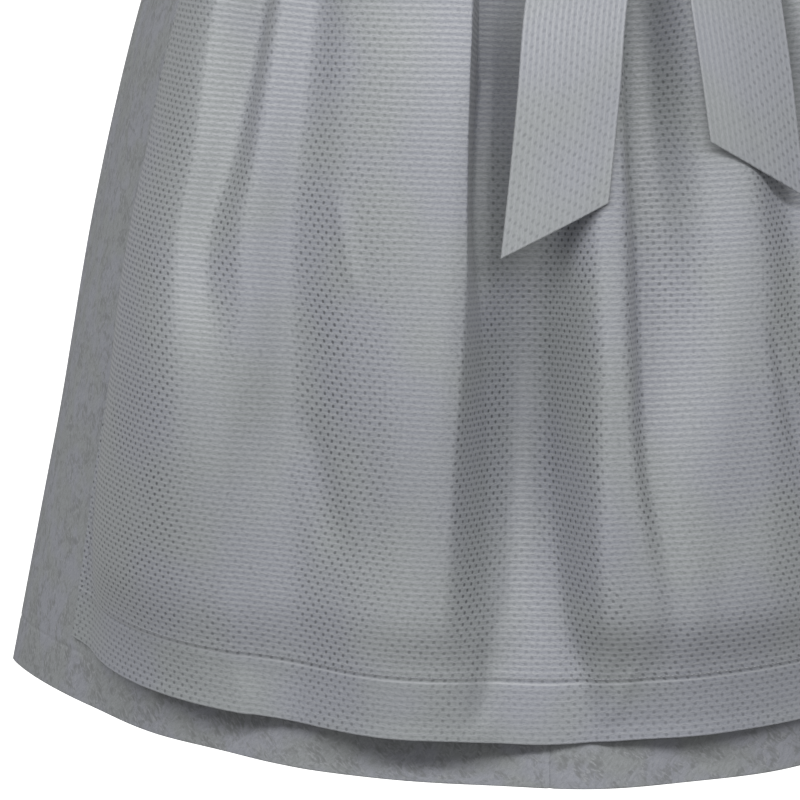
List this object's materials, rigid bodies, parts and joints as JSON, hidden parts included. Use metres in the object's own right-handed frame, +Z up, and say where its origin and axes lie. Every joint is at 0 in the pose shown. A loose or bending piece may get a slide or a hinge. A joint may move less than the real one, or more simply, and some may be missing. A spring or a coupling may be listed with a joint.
{
  "type": "dirndl",
  "caption": "Worn, hollow dirndl: sleeveless bodice with straps, gathered bell skirt, and an apron tied round the waist with a bow.",
  "frame": {"origin": "centre of the waist seam, where the wearer's waist holds the dress up", "axes": "+Z up to the shoulders, -Y out of the front, +X to the wearer's left"},
  "size_m": [0.7712, 0.6397, 1.0894],
  "materials": {
    "jacquard": "matte grey tone-on-tone jacquard with a faint mottled leaf figure",
    "dobby": "silvery grey dobby weave with fine ribs and small dark pin dots, soft satin sheen",
    "pewter": "brushed, dulled pewter"
  },
  "bodies": {
    "root": {"skirt_front_left": "jacquard", "skirt_back_left": "jacquard", "skirt_front_right": "jacquard", "skirt_back_right": "jacquard", "apron_panel": "dobby", "apron_waistband": "dobby", "tie_wrap_left": "dobby", "tie_wrap_right": "dobby", "bow_knot": "dobby", "bow_loop_left": "dobby", "tie_tail_left": "dobby", "bow_loop_right": "dobby", "tie_tail_right": "dobby", "bodice_front_left": "jacquard", "bodice_side_front_left": "jacquard", "bodice_side_back_left": "jacquard", "bodice_back_left": "jacquard", "bodice_front_right": "jacquard", "bodice_side_front_right": "jacquard", "bodice_side_back_right": "jacquard", "bodice_back_right": "jacquard", "button_1": "pewter", "button_2": "pewter", "button_3": "pewter", "button_4": "pewter", "button_5": "pewter", "button_6": "pewter"}
  },
  "joints": []
}
